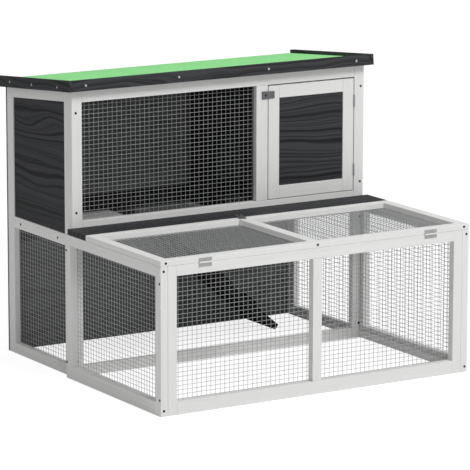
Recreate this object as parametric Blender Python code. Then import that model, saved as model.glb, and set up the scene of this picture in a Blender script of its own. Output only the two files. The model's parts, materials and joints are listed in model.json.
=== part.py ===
"""Two-storey rabbit hutch with a low front run: every piece is its own object.

Metres, +Z up. X runs along the front (left is -X), Y runs back, and the origin is at the
centre of the footprint, on the ground.
"""
import math

import bmesh
import bpy
from mathutils import Matrix, Vector

# ---- house: overall sizes -------------------------------------------------------------
HOUSE_WIDTH = 0.900
HOUSE_DEPTH = 0.354            # front face to the back of the rear stiles
FRONT_FRAME_TOP = 0.7612       # top of the front frame, under the roof board
ROOF_SLOPE = math.radians(5.4)  # falls to the rear

# ---- house: timbers ---------------------------------------------------------------------
HOUSE_TIMBER = 0.016           # thickness of every house frame
POST_WIDTH = 0.030
CENTRE_STILE_WIDTH = 0.0354
CENTRE_STILE_LEFT = 0.559      # from the house's left face
SIDE_FRONT_STILE = 0.0245
SIDE_REAR_STILE = 0.0335
SIDE_TOP_RAIL = 0.036
MID_RAIL_HEIGHT = 0.030
MID_RAIL_DROP = 0.014          # the side middle rails start this far below the floor's top
HOUSE_BOTTOM_RAIL = 0.0285
WINDOW_TOP = 0.7225
SILL_TOP = 0.4115
SILL_RAIL = 0.0415
BOARD = 0.008                  # dark boards
BOARD_RECESS = 0.003           # dark boards stand this far behind the timber face
REAR_WALL = 0.0065
WALL_BATTEN = 0.012            # along the foot of the rear wall, on the floor
WALL_BATTEN_HEIGHT = 0.044     # above the floor
FLOOR_TOP = 0.358
FLOOR_THICKNESS = 0.012
DIVIDER_LEFT = 0.553           # from the house's left face
DOORWAY_FROM = 0.046           # doorway in the divider, measured back from the house front
DOORWAY_WIDTH = 0.156
DOORWAY_SILL = 0.027           # above the floor
DOORWAY_SIDE = 0.105           # upright part, below its round head

# ---- ramp ---------------------------------------------------------------------------------
RAMP_HOLE_LEFT = 0.302         # from the house's left face
RAMP_HOLE_LENGTH = 0.246
RAMP_LANDING = 0.012           # board under the floor that carries the ramp
RAMP_LANDING_LAP = 0.035       # how far it reaches under the floor
RAMP_WIDTH = 0.155
RAMP_BOARD = 0.0165
RAMP_SLOPE = math.radians(40.3)
RAMP_REACH = 0.744             # where the ramp meets the ground, from the house's left face
CLEAT_HEIGHT = 0.0088
CLEAT_WIDTH = 0.052
CLEAT_PITCH = 0.112
CLEAT_FIRST = 0.092            # lowest cleat, from the ramp's foot
RAMP_HINGE_ROOM = 0.026        # free of cleats at the top of the ramp
GROUND_CLEARANCE = 0.0005

# ---- roof -----------------------------------------------------------------------------------
ROOF_BOARD = 0.009
FELT = 0.0022
FELT_EDGE = 0.0015             # clearance between the felt and the fascia boards
FASCIA = 0.0122
FASCIA_SIDE_CLEARANCE = 0.0054
FASCIA_FRONT_CLEARANCE = 0.0090
FASCIA_PROUD = 0.009           # fascia stands this far above the felt
FASCIA_HEIGHT = 0.029
ROOF_REAR = 0.0265             # roof edge behind the rear stiles

# ---- door -------------------------------------------------------------------------------------
DOOR_STILE = 0.034
DOOR_GAP_LEFT = 0.0024
DOOR_GAP_TOP = 0.0034
DOOR_GAP_BOTTOM = 0.0018
DOOR_HINGE_GAP = 0.0024
DOOR_HINGE_LENGTH = 0.033
DOOR_HINGE_UPPER = 0.6575      # hinge centres
DOOR_HINGE_LOWER = 0.4690

# ---- run ------------------------------------------------------------------------------------------
RUN_DEPTH = 0.4755             # house front to the front of the run
RUN_SIDE_OVERHANG = 0.0152
RUN_TIMBER = 0.0205
RUN_STILE = 0.026
RUN_REAR_STILE = 0.0143
RUN_LAP = 0.0101               # the side frames lap this far over the house sides
RUN_FRAME_HEIGHT = 0.3810
RUN_TOP_RAIL = 0.0272
RUN_BOTTOM_RAIL = 0.0342
RUN_CENTRE_STILE_LEFT = 0.4334  # from the house's left face
RUN_CENTRE_STILE = 0.027
SHELF_DEPTH = 0.0955

# ---- lid --------------------------------------------------------------------------------------------
LID_THICKNESS = 0.0145
LID_SIDE_RAIL = 0.029
LID_CROSS_RAIL = 0.026
LID_BAR = 0.0300
LID_BAR_LEFT = 0.4320          # from the house's left face
LID_HINGE_LENGTH = 0.037
LID_HINGE_CENTRES = (0.1135, 0.7935)  # from the house's left face

# ---- mesh ---------------------------------------------------------------------------------------------
WIRE = 0.002
MESH_THICKNESS = 0.0016
MESH_PITCH = 0.0635            # every fifth wire of a 12.7 mm welded mesh
MESH_LAP = 0.012               # mesh laps over the inside of its timber

# ---- hardware -----------------------------------------------------------------------------------------
LEAF = 0.0007                  # door hinge leaf
SURFACE_LEAF = 0.0010
LEAF_WIDTH = 0.0110
BARREL_RADIUS = 0.0021
PIN_RADIUS = 0.0009
PIN_CLEARANCE = 0.0003
ROOF_HINGE_LENGTH = 0.050
ROOF_HINGE_INSET = 0.160       # hinge centres, in from the house's side faces
RAMP_HINGE_LENGTH = 0.060
DOOR_BUTTON_LENGTH = 0.0395
LID_BUTTON_LENGTH = 0.0500
BUTTON_WIDTH = 0.0215
BUTTON_THICKNESS = 0.0022
BUTTON_PIVOT = 0.0115          # pivot from the button's end
BUTTON_BORE = 0.0021
SCREW_HEAD = 0.0034
SCREW_SHANK = 0.0017
SCREW_HEAD_HEIGHT = 0.0012
DOOR_BUTTON_X = 0.5865         # from the house's left face
DOOR_BUTTON_Z = 0.6955
LID_BUTTON_X = 0.4545
LID_BUTTON_BACK = 0.0822       # pivot in front of the house front
LID_BUTTON_TURN = math.radians(-106)  # turned so that it holds the lid down

GAP = 0.0003                   # between faces that touch

# ---- derived places -------------------------------------------------------------------------------
HINGE_PROUD = GAP + 2 * BARREL_RADIUS
LEFT = -HOUSE_WIDTH / 2
RIGHT = HOUSE_WIDTH / 2
FRONT = (RUN_DEPTH + HINGE_PROUD - HOUSE_DEPTH - ROOF_REAR) / 2
BEHIND_FRONT_FRAME = FRONT + HOUSE_TIMBER + GAP
REAR = FRONT + HOUSE_DEPTH
RUN_FRONT = FRONT - RUN_DEPTH
RUN_LEFT = LEFT - RUN_SIDE_OVERHANG
RUN_RIGHT = RIGHT + RUN_SIDE_OVERHANG
LID_BOTTOM = RUN_FRAME_HEIGHT + GAP
LID_TOP = LID_BOTTOM + LID_THICKNESS
SHELF_FRONT = FRONT - SHELF_DEPTH
CENTRE_STILE = (LEFT + CENTRE_STILE_LEFT, LEFT + CENTRE_STILE_LEFT + CENTRE_STILE_WIDTH)
DOOR_OPENING = (CENTRE_STILE[1], RIGHT - POST_WIDTH)
FLOOR_BOTTOM = FLOOR_TOP - FLOOR_THICKNESS
MID_RAIL_BOTTOM = FLOOR_TOP - MID_RAIL_DROP
INNER_LEFT = LEFT + HOUSE_TIMBER + GAP
INNER_RIGHT = RIGHT - HOUSE_TIMBER - GAP
DIVIDER = (LEFT + DIVIDER_LEFT, LEFT + DIVIDER_LEFT + BOARD)


def roof_underside(y):
    """Height of the roof board's underside at depth y."""
    return FRONT_FRAME_TOP + GAP - math.tan(ROOF_SLOPE) * (y - FRONT)


def under_roof(y0, y1, low, clearance=GAP):
    """Outline from low up to the roof board, sloping with it."""
    return [(y0, low), (y1, low), (y1, roof_underside(y1) - clearance), (y0, roof_underside(y0) - clearance)]


# ---- materials ----------------------------------------------------------------------------------------
def make_material(name, colour, roughness, metallic=0.0):
    material = bpy.data.materials.new(name)
    material.use_nodes = True
    material.diffuse_color = (*colour, 1.0)
    shader = material.node_tree.nodes["Principled BSDF"]
    shader.inputs["Base Color"].default_value = (*colour, 1.0)
    shader.inputs["Roughness"].default_value = roughness
    shader.inputs["Metallic"].default_value = metallic
    return material


for old in list(bpy.data.objects):
    bpy.data.objects.remove(old)

WHITE = make_material("whitewashed_wood", (0.72, 0.72, 0.70), 0.65)
DARK = make_material("anthracite_wood", (0.035, 0.037, 0.040), 0.60)
STEEL = make_material("galvanised_steel", (0.45, 0.46, 0.47), 0.40, 0.8)
GREEN = make_material("green_felt", (0.06, 0.50, 0.08), 0.90)
SCREW = make_material("dark_screw", (0.05, 0.05, 0.05), 0.45, 0.6)


# ---- shape helpers ------------------------------------------------------------------------------------
def add_object(name, mesh, material, location=(0, 0, 0), rotation=None):
    item = bpy.data.objects.new(name, mesh)
    item.data.materials.append(material)
    item.location = location
    if rotation is not None:
        item.rotation_euler = rotation
    bpy.context.scene.collection.objects.link(item)
    return item


def mesh_from(shape, name):
    bmesh.ops.recalc_face_normals(shape, faces=shape.faces)
    mesh = bpy.data.meshes.new(name)
    shape.to_mesh(mesh)
    shape.free()
    return mesh


def block(name, x, y, z, material):
    """A plain timber or board between the given limits, placed by its centre."""
    shape = bmesh.new()
    bmesh.ops.create_cube(shape, size=1.0)
    size = Vector((x[1] - x[0], y[1] - y[0], z[1] - z[0]))
    bmesh.ops.scale(shape, vec=size, verts=shape.verts)
    centre = Vector((sum(x) / 2, sum(y) / 2, sum(z) / 2))
    return add_object(name, mesh_from(shape, name), material, centre)


def prism(name, outline, direction, material, location=(0, 0, 0)):
    """A closed outline pushed along a direction."""
    shape = bmesh.new()
    face = shape.faces.new([shape.verts.new(point) for point in outline])
    pushed = bmesh.ops.extrude_face_region(shape, geom=[face])
    moved = [item for item in pushed["geom"] if isinstance(item, bmesh.types.BMVert)]
    bmesh.ops.translate(shape, vec=direction, verts=moved)
    return add_object(name, mesh_from(shape, name), material, location)


def side_prism(name, x, outline, material):
    """An outline of (y, z) points pushed from x[0] to x[1]."""
    points = [(x[0], y, z) for y, z in outline]
    return prism(name, points, (x[1] - x[0], 0, 0), material)


def cells(name, across, up, empty, place, push, material):
    """A flat frame or lattice: the cells of a grid, but for the empty ones, pushed to thickness.

    across and up are the grid lines, place turns a pair of them into a point."""
    shape = bmesh.new()
    corners = {}
    for i in range(len(across) - 1):
        for j in range(len(up) - 1):
            if empty(i, j):
                continue
            ring = ((i, j), (i + 1, j), (i + 1, j + 1), (i, j + 1))
            for key in ring:
                if key not in corners:
                    corners[key] = shape.verts.new(place(across[key[0]], up[key[1]]))
            shape.faces.new([corners[key] for key in ring])
    pushed = bmesh.ops.extrude_face_region(shape, geom=shape.faces[:])
    moved = [item for item in pushed["geom"] if isinstance(item, bmesh.types.BMVert)]
    bmesh.ops.translate(shape, vec=push, verts=moved)
    return add_object(name, mesh_from(shape, name), material)


def in_xz(y):
    return lambda a, b: (a, y, b)


def in_yz(x):
    return lambda a, b: (x, a, b)


def in_xy(z):
    return lambda a, b: (a, b, z)


def wire_lines(low, high):
    """Edges of evenly spaced wires from low to high, near the mesh pitch."""
    count = max(2, round((high - low - WIRE) / MESH_PITCH))
    step = (high - low - WIRE) / count
    lines = []
    for i in range(count + 1):
        lines += [low + i * step, low + i * step + WIRE]
    return lines


def lattice(name, across, up, place, push):
    """Welded mesh, as one body of crossing wires."""
    return cells(name, wire_lines(*across), wire_lines(*up),
                 lambda i, j: i % 2 == 1 and j % 2 == 1, place, push, STEEL)


def combine(item, tool, operation):
    """Joins or cuts item with tool, which is used up."""
    change = item.modifiers.new("combine", "BOOLEAN")
    change.operation = operation
    change.solver = "EXACT"
    change.object = tool
    depsgraph = bpy.context.evaluated_depsgraph_get()
    depsgraph.update()
    result = bpy.data.meshes.new_from_object(item.evaluated_get(depsgraph))
    item.modifiers.clear()
    item.data = result
    bpy.data.objects.remove(tool)
    return item


def rod(name, radius, low, high, material, sides=16):
    """A round bar on the local Z axis."""
    shape = bmesh.new()
    bmesh.ops.create_cone(shape, cap_ends=True, segments=sides, radius1=radius,
                          radius2=radius, depth=high - low)
    bmesh.ops.translate(shape, vec=(0, 0, (low + high) / 2), verts=shape.verts)
    return add_object(name, mesh_from(shape, name), material)


def hinge_leaf(name, length, leaf, side, width, offset, moving, turn, centre):
    """One half of a butt hinge, built with its barrel on local Z and its leaf towards side.

    side is +1 or -1 along local X; offset is the leaf plate's own place in local Y.
    The fixed half carries the pin and the outer knuckles, the moving half the middle one."""
    half = length / 2
    knuckle = length / 6
    x = sorted((side * PIN_RADIUS * 0.5, side * width))
    if moving:
        x = sorted((side * (BARREL_RADIUS - 0.0006), side * width))
    shape = bmesh.new()
    bmesh.ops.create_cube(shape, size=1.0)
    bmesh.ops.scale(shape, vec=(x[1] - x[0], leaf, length), verts=shape.verts)
    bmesh.ops.translate(shape, vec=(sum(x) / 2, offset, 0), verts=shape.verts)
    plate = add_object(name, mesh_from(shape, name), STEEL)
    clear = BARREL_RADIUS + PIN_CLEARANCE
    slot = knuckle + PIN_CLEARANCE
    if moving:
        for low, high in ((-half - 0.001, -knuckle), (knuckle, half + 0.001)):
            combine(plate, rod("cut", clear, low, high, STEEL, 20), "DIFFERENCE")
        combine(plate, rod("knuckle", BARREL_RADIUS, -knuckle, knuckle, STEEL), "UNION")
        bore = PIN_RADIUS + PIN_CLEARANCE
        combine(plate, rod("bore", bore, -half, half, STEEL, 12), "DIFFERENCE")
    else:
        combine(plate, rod("cut", clear, -slot, slot, STEEL, 20), "DIFFERENCE")
        for low, high in ((-half, -slot), (slot, half)):
            combine(plate, rod("knuckle", BARREL_RADIUS, low, high, STEEL), "UNION")
        pin = rod("pin", PIN_RADIUS, -half + 0.001, half - 0.001, STEEL, 12)
        combine(plate, pin, "UNION")
    plate.matrix_world = Matrix.Translation(centre) @ turn
    return plate


# ---- house --------------------------------------------------------------------------------------------
def build_side(label, outer, inward):
    """A house side: outer is the x of its outer face, inward is +1 or -1."""
    def between(a, b):
        return tuple(sorted((outer + inward * a, outer + inward * b)))

    timber = between(0, HOUSE_TIMBER)
    front_stile = (BEHIND_FRONT_FRAME, BEHIND_FRONT_FRAME + SIDE_FRONT_STILE)
    rear_stile = (REAR - SIDE_REAR_STILE, REAR)
    for end, (y0, y1) in (("front", front_stile), ("rear", rear_stile)):
        side_prism(f"side_{label}_{end}_stile", timber, under_roof(y0, y1, 0), WHITE)
    y0 = front_stile[1] + GAP
    y1 = rear_stile[0] - GAP
    outline = [(y0, roof_underside(y0) - GAP - SIDE_TOP_RAIL), (y1, roof_underside(y1) - GAP - SIDE_TOP_RAIL),
               (y1, roof_underside(y1) - GAP), (y0, roof_underside(y0) - GAP)]
    side_prism(f"side_{label}_top_rail", timber, outline, WHITE)
    block(f"side_{label}_mid_rail", timber, (y0, y1),
          (MID_RAIL_BOTTOM, MID_RAIL_BOTTOM + MID_RAIL_HEIGHT), WHITE)
    block(f"side_{label}_bottom_rail", timber, (y0, y1), (0, HOUSE_BOTTOM_RAIL), WHITE)
    low = MID_RAIL_BOTTOM + MID_RAIL_HEIGHT + GAP
    drop = SIDE_TOP_RAIL + 2 * GAP
    side_prism(f"side_{label}_board", between(BOARD_RECESS, BOARD_RECESS + BOARD),
               under_roof(y0, y1, low, drop), DARK)
    mesh_x = between(HOUSE_TIMBER + GAP, HOUSE_TIMBER + GAP + MESH_THICKNESS)
    lattice(f"side_{label}_lower_mesh", (y0 - MESH_LAP, y1 + MESH_LAP),
            (HOUSE_BOTTOM_RAIL - MESH_LAP, FLOOR_BOTTOM - 0.002), in_yz(mesh_x[0]),
            (MESH_THICKNESS, 0, 0))


def build_house_front():
    timber = (FRONT, FRONT + HOUSE_TIMBER)
    inner = (LEFT + POST_WIDTH + GAP, RIGHT - POST_WIDTH - GAP)
    side_prism("front_left_post", (LEFT, LEFT + POST_WIDTH), under_roof(*timber, 0), WHITE)
    side_prism("front_right_post", (RIGHT - POST_WIDTH, RIGHT), under_roof(*timber, 0), WHITE)
    side_prism("front_top_rail", inner, under_roof(*timber, WINDOW_TOP), WHITE)
    block("front_sill_rail", inner, timber, (SILL_TOP - SILL_RAIL, SILL_TOP), WHITE)
    block("front_bottom_rail", inner, timber, (0, HOUSE_BOTTOM_RAIL), WHITE)
    block("front_centre_stile", CENTRE_STILE, timber, (SILL_TOP + GAP, WINDOW_TOP - GAP), WHITE)
    lattice("window_mesh", (INNER_LEFT + 0.002, CENTRE_STILE[0] + MESH_LAP),
            (SILL_TOP - MESH_LAP, WINDOW_TOP + MESH_LAP), in_xz(BEHIND_FRONT_FRAME),
            (0, MESH_THICKNESS, 0))


def build_house_inside():
    wall = (REAR + GAP, REAR + GAP + REAR_WALL)
    rear_wall = side_prism("rear_wall", (LEFT, RIGHT), under_roof(*wall, 0), DARK)
    batten = block("batten", (INNER_LEFT, INNER_RIGHT), (REAR - WALL_BATTEN, wall[0] + REAR_WALL / 2),
                   (FLOOR_TOP + GAP, FLOOR_TOP + WALL_BATTEN_HEIGHT), DARK)
    combine(rear_wall, batten, "UNION")
    hole_left = LEFT + RAMP_HOLE_LEFT
    back = REAR - GAP
    floor_lines = [INNER_LEFT, hole_left, hole_left + RAMP_HOLE_LENGTH, INNER_RIGHT]
    depth_lines = [BEHIND_FRONT_FRAME, back - RAMP_WIDTH - 0.006, back]
    cells("floor_board", floor_lines, depth_lines, lambda i, j: i == 1 and j == 1,
          in_xy(FLOOR_BOTTOM), (0, 0, FLOOR_THICKNESS), WHITE)
    y0 = BEHIND_FRONT_FRAME + MESH_THICKNESS + GAP
    y1 = REAR - WALL_BATTEN - GAP
    low = FLOOR_TOP + GAP
    divider = side_prism("divider", DIVIDER, under_roof(y0, y1, low, 0.003), DARK)
    radius = DOORWAY_WIDTH / 2
    middle = FRONT + DOORWAY_FROM + radius
    sill = FLOOR_TOP + DOORWAY_SILL
    spring = sill + DOORWAY_SIDE
    arch = [(middle - radius, sill), (middle + radius, sill)]
    steps = 12
    for i in range(steps + 1):
        angle = math.pi * i / steps
        arch.append((middle + radius * math.cos(angle), spring + radius * math.sin(angle)))
    cutter = side_prism("cut", (DIVIDER[0] - 0.01, DIVIDER[1] + 0.01), arch, DARK)
    combine(divider, cutter, "DIFFERENCE")


# ---- ramp ---------------------------------------------------------------------------------------------
def build_ramp():
    """The ramp hangs from a hinge under the landing board, at the left of the floor hole."""
    y1 = REAR - 0.004
    y0 = y1 - RAMP_WIDTH
    landing = (FLOOR_BOTTOM - GAP - RAMP_LANDING, FLOOR_BOTTOM - GAP)
    axis_z = landing[0] - GAP - BARREL_RADIUS
    top = -BARREL_RADIUS                     # the board's upper face, below the axis
    bottom = top - RAMP_BOARD
    fall = axis_z - GROUND_CLEARANCE + bottom * math.cos(RAMP_SLOPE)
    length = fall / math.sin(RAMP_SLOPE)
    axis_x = LEFT + RAMP_REACH - length * math.cos(RAMP_SLOPE) - bottom * math.sin(RAMP_SLOPE)
    start = 0.004
    outline = [(start, bottom), (length, bottom), (length, top)]
    cleat_count = math.ceil((length - CLEAT_FIRST - RAMP_HINGE_ROOM) / CLEAT_PITCH)
    for i in range(cleat_count):
        far = length - CLEAT_FIRST - i * CLEAT_PITCH
        near = max(far - CLEAT_WIDTH, RAMP_HINGE_ROOM)
        outline += [(far, top), (far, top + CLEAT_HEIGHT), (near, top + CLEAT_HEIGHT), (near, top)]
    outline.append((start, top))
    points = [(along, 0, up) for along, up in outline]
    ramp = prism("ramp_board", points, (0, RAMP_WIDTH, 0), DARK, (axis_x, y0, axis_z))
    ramp.rotation_euler = (0, RAMP_SLOPE, 0)
    block("ramp_landing", (LEFT + RAMP_HOLE_LEFT - RAMP_LANDING_LAP, axis_x + BARREL_RADIUS), (y0, y1),
          landing, DARK)
    middle = (axis_x, (y0 + y1) / 2, axis_z)
    lay = Matrix.Rotation(math.radians(-90), 4, "X")   # barrel along Y, local Y to -Z
    offset = BARREL_RADIUS - SURFACE_LEAF / 2
    hinge_leaf("ramp_hinge_fixed", RAMP_HINGE_LENGTH, SURFACE_LEAF, -1, 0.020, -offset, False, lay, middle)
    tilt = Matrix.Rotation(RAMP_SLOPE, 4, "Y")
    hinge_leaf("ramp_hinge_moving", RAMP_HINGE_LENGTH, SURFACE_LEAF, 1, 0.020, offset - GAP, True,
               tilt @ lay, middle)
    return middle


# ---- roof ---------------------------------------------------------------------------------------------
def roof_frame():
    """A frame on the slope: origin on the board's underside above the house front, y down the slope."""
    return Matrix.Translation((0, FRONT, roof_underside(FRONT))) @ Matrix.Rotation(-ROOF_SLOPE, 4, "X")


def build_roof():
    slope = roof_frame()
    side_x = RIGHT + FASCIA_SIDE_CLEARANCE
    front_y = -FASCIA_FRONT_CLEARANCE
    felt_top = ROOF_BOARD + GAP + FELT
    lean = (felt_top + FASCIA_PROUD) * math.sin(ROOF_SLOPE)
    rear_y = (HOUSE_DEPTH + ROOF_REAR - lean) / math.cos(ROOF_SLOPE)
    fascia_z = (felt_top + FASCIA_PROUD - FASCIA_HEIGHT, felt_top + FASCIA_PROUD)
    pieces = [
        block("roof_board", (-side_x + GAP, side_x - GAP), (front_y + GAP, rear_y),
              (0, ROOF_BOARD), DARK),
        block("roof_felt", (-side_x + FELT_EDGE, side_x - FELT_EDGE), (front_y + FELT_EDGE, rear_y),
              (ROOF_BOARD + GAP, felt_top), GREEN),
        block("fascia_front", (-side_x, side_x), (front_y - FASCIA, front_y), fascia_z, DARK),
        block("fascia_left", (-side_x - FASCIA, -side_x - GAP), (front_y - FASCIA, rear_y),
              fascia_z, DARK),
        block("fascia_right", (side_x + GAP, side_x + FASCIA), (front_y - FASCIA, rear_y),
              fascia_z, DARK),
    ]
    bpy.context.view_layer.update()
    for piece in pieces:
        piece.matrix_world = slope @ piece.matrix_world
    axis_y = REAR + GAP + REAR_WALL + GAP + BARREL_RADIUS
    axis_z = roof_underside(axis_y) - 2 * GAP - BARREL_RADIUS
    for label, x in (("left", LEFT + ROOF_HINGE_INSET), ("right", RIGHT - ROOF_HINGE_INSET)):
        centre = (x, axis_y, axis_z)
        along = Matrix.Rotation(math.radians(90), 4, "Y")    # barrel along X, local X to -Z
        hinge_leaf(f"roof_hinge_{label}_fixed", ROOF_HINGE_LENGTH, SURFACE_LEAF, 1, 0.022,
                   -(BARREL_RADIUS - SURFACE_LEAF / 2), False, along, centre)
        under = Matrix.Rotation(math.radians(-90) - ROOF_SLOPE, 4, "X") @ along
        hinge_leaf(f"roof_hinge_{label}_moving", ROOF_HINGE_LENGTH, SURFACE_LEAF, -1, 0.014,
                   -(BARREL_RADIUS - SURFACE_LEAF / 2), True, under, centre)
    return axis_y, axis_z


# ---- door ---------------------------------------------------------------------------------------------
def build_door():
    x0 = DOOR_OPENING[0] + DOOR_GAP_LEFT
    x1 = DOOR_OPENING[1] - DOOR_HINGE_GAP
    z0 = SILL_TOP + DOOR_GAP_BOTTOM
    z1 = WINDOW_TOP - DOOR_GAP_TOP
    inner_x = (x0 + DOOR_STILE, x1 - DOOR_STILE)
    inner_z = (z0 + DOOR_STILE, z1 - DOOR_STILE)
    cells("door_frame", [x0, *inner_x, x1], [z0, *inner_z, z1], lambda i, j: i == 1 and j == 1,
          in_xz(FRONT), (0, HOUSE_TIMBER, 0), WHITE)
    block("door_board", (inner_x[0] + GAP, inner_x[1] - GAP),
          (FRONT + BOARD_RECESS, FRONT + BOARD_RECESS + BOARD), (inner_z[0] + GAP, inner_z[1] - GAP), DARK)
    axis = (DOOR_OPENING[1] - DOOR_HINGE_GAP / 2, FRONT - BARREL_RADIUS)
    inward = Matrix.Rotation(math.radians(90), 4, "Z")       # local X to +Y, local Y to -X
    leaf_offset = LEAF / 2 + GAP / 2
    for label, z in (("upper", DOOR_HINGE_UPPER), ("lower", DOOR_HINGE_LOWER)):
        centre = (*axis, z)
        hinge_leaf(f"door_hinge_{label}_fixed", DOOR_HINGE_LENGTH, LEAF, 1, HOUSE_TIMBER,
                   -leaf_offset, False, inward, centre)
        hinge_leaf(f"door_hinge_{label}_moving", DOOR_HINGE_LENGTH, LEAF, 1, HOUSE_TIMBER,
                   leaf_offset, True, inward, centre)
    return axis


def build_button(name, length, pivot, turn):
    """A turn button and its screw; local Z is the screw's axis, pointing out of the timber."""
    x0 = -BUTTON_PIVOT
    x1 = length - BUTTON_PIVOT
    half = BUTTON_WIDTH / 2
    points = [(x0, -half, GAP), (x1, -half * 0.9, GAP), (x1, half * 0.9, GAP), (x0, half, GAP)]
    button = prism(f"{name}_button", points, (0, 0, BUTTON_THICKNESS), STEEL)
    combine(button, rod("bore", BUTTON_BORE, -0.01, 0.01, STEEL, 16), "DIFFERENCE")
    top = GAP + BUTTON_THICKNESS + GAP
    screw = rod(f"{name}_button_screw", SCREW_SHANK, GAP, top + SCREW_HEAD_HEIGHT / 2, SCREW, 16)
    head = rod("head", SCREW_HEAD, top, top + SCREW_HEAD_HEIGHT, SCREW, 20)
    combine(screw, head, "UNION")
    for piece in (button, screw):
        piece.matrix_world = Matrix.Translation(pivot) @ turn


# ---- run ----------------------------------------------------------------------------------------------
def build_run_side(label, outer, inward):
    """A side frame of the run, rebated so that it laps over the house side."""
    inner = outer + inward * RUN_TIMBER
    x = sorted((outer, inner))
    y = [RUN_FRONT, RUN_FRONT + RUN_STILE, FRONT - RUN_REAR_STILE, FRONT + RUN_LAP]
    z = [0, RUN_BOTTOM_RAIL, RUN_FRAME_HEIGHT - RUN_TOP_RAIL, RUN_FRAME_HEIGHT]
    frame = cells(f"run_{label}_frame", y, z, lambda i, j: i == 1 and j == 1, in_yz(x[0]),
                  (RUN_TIMBER, 0, 0), WHITE)
    house_face = outer + inward * (RUN_SIDE_OVERHANG - GAP)
    rebate = sorted((house_face, inner + inward * 0.01))
    cutter = block("cut", rebate, (FRONT - GAP, FRONT + RUN_LAP + 0.01), (-0.01, RUN_FRAME_HEIGHT + 0.01),
                   WHITE)
    combine(frame, cutter, "DIFFERENCE")
    mesh_x = sorted((inner + inward * GAP, inner + inward * (GAP + MESH_THICKNESS)))
    front_mesh_back = RUN_FRONT + RUN_TIMBER + 2 * GAP + MESH_THICKNESS
    lattice(f"run_{label}_mesh", (front_mesh_back, FRONT - 2 * GAP),
            (RUN_BOTTOM_RAIL - MESH_LAP, z[2] + MESH_LAP), in_yz(mesh_x[0]), (MESH_THICKNESS, 0, 0))


def build_run():
    build_run_side("left", RUN_LEFT, 1)
    build_run_side("right", RUN_RIGHT, -1)
    side = RUN_TIMBER + GAP
    centre = LEFT + RUN_CENTRE_STILE_LEFT
    x = [RUN_LEFT + side, RUN_LEFT + side + RUN_STILE, centre, centre + RUN_CENTRE_STILE,
         RUN_RIGHT - side - RUN_STILE, RUN_RIGHT - side]
    z = [0, RUN_BOTTOM_RAIL, RUN_FRAME_HEIGHT - RUN_TOP_RAIL, RUN_FRAME_HEIGHT]
    cells("run_front_frame", x, z, lambda i, j: i in (1, 3) and j == 1, in_xz(RUN_FRONT),
          (0, RUN_TIMBER, 0), WHITE)
    lattice("run_front_mesh", (x[1] - MESH_LAP, x[4] + MESH_LAP),
            (RUN_BOTTOM_RAIL - MESH_LAP, z[2] + MESH_LAP), in_xz(RUN_FRONT + RUN_TIMBER + GAP),
            (0, MESH_THICKNESS, 0))
    block("shelf_board", (RUN_LEFT, RUN_RIGHT), (SHELF_FRONT, FRONT - GAP), (LID_BOTTOM, LID_TOP), DARK)


# ---- lid ----------------------------------------------------------------------------------------------
def build_lid():
    bar = LEFT + LID_BAR_LEFT
    x = [RUN_LEFT, RUN_LEFT + LID_SIDE_RAIL, bar, bar + LID_BAR, RUN_RIGHT - LID_SIDE_RAIL, RUN_RIGHT]
    y = [RUN_FRONT, RUN_FRONT + LID_CROSS_RAIL, SHELF_FRONT - 2 * GAP - LID_CROSS_RAIL,
         SHELF_FRONT - 2 * GAP]
    cells("lid_frame", x, y, lambda i, j: i in (1, 3) and j == 1, in_xy(LID_BOTTOM),
          (0, 0, LID_THICKNESS), WHITE)
    side = RUN_TIMBER + 0.002
    front = RUN_FRONT + RUN_TIMBER + 0.002
    lattice("lid_mesh", (RUN_LEFT + side, RUN_RIGHT - side), (front, y[2] + MESH_LAP),
            in_xy(LID_BOTTOM - GAP - MESH_THICKNESS), (0, 0, MESH_THICKNESS))
    axis = (RUN_FRONT - GAP - BARREL_RADIUS, LID_BOTTOM - GAP / 2)
    for label, place in zip(("left", "right"), LID_HINGE_CENTRES):
        centre = (LEFT + place, *axis)
        down = Matrix.Rotation(math.radians(90), 4, "Y")      # barrel along X, local X to -Z
        offset = BARREL_RADIUS - SURFACE_LEAF / 2
        hinge_leaf(f"lid_hinge_{label}_fixed", LID_HINGE_LENGTH, SURFACE_LEAF, 1, LEAF_WIDTH,
                   offset, False, down, centre)
        hinge_leaf(f"lid_hinge_{label}_moving", LID_HINGE_LENGTH, SURFACE_LEAF, -1, LEAF_WIDTH,
                   offset, True, down, centre)
    return axis


build_side("left", LEFT, 1)
build_side("right", RIGHT, -1)
build_house_front()
build_house_inside()
ramp_axis = build_ramp()
roof_axis = build_roof()
door_axis = build_door()
to_front = Matrix.Rotation(math.radians(90), 4, "X")          # local Z to -Y, local Y to +Z
build_button("door", DOOR_BUTTON_LENGTH, (LEFT + DOOR_BUTTON_X, FRONT, DOOR_BUTTON_Z), to_front)
build_run()
lid_axis = build_lid()
to_lid = Matrix.Rotation(LID_BUTTON_TURN, 4, "Z")
lid_pivot = (LEFT + LID_BUTTON_X, FRONT - LID_BUTTON_BACK, LID_TOP)
build_button("lid", LID_BUTTON_LENGTH, lid_pivot, to_lid)
print("front", round(FRONT, 5), "ramp axis", ramp_axis)
print("roof axis", roof_axis, "door axis", door_axis, "lid axis", lid_axis)
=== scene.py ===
import json
import math
import random

import bmesh
import bpy
from mathutils import Matrix, Vector


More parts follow.
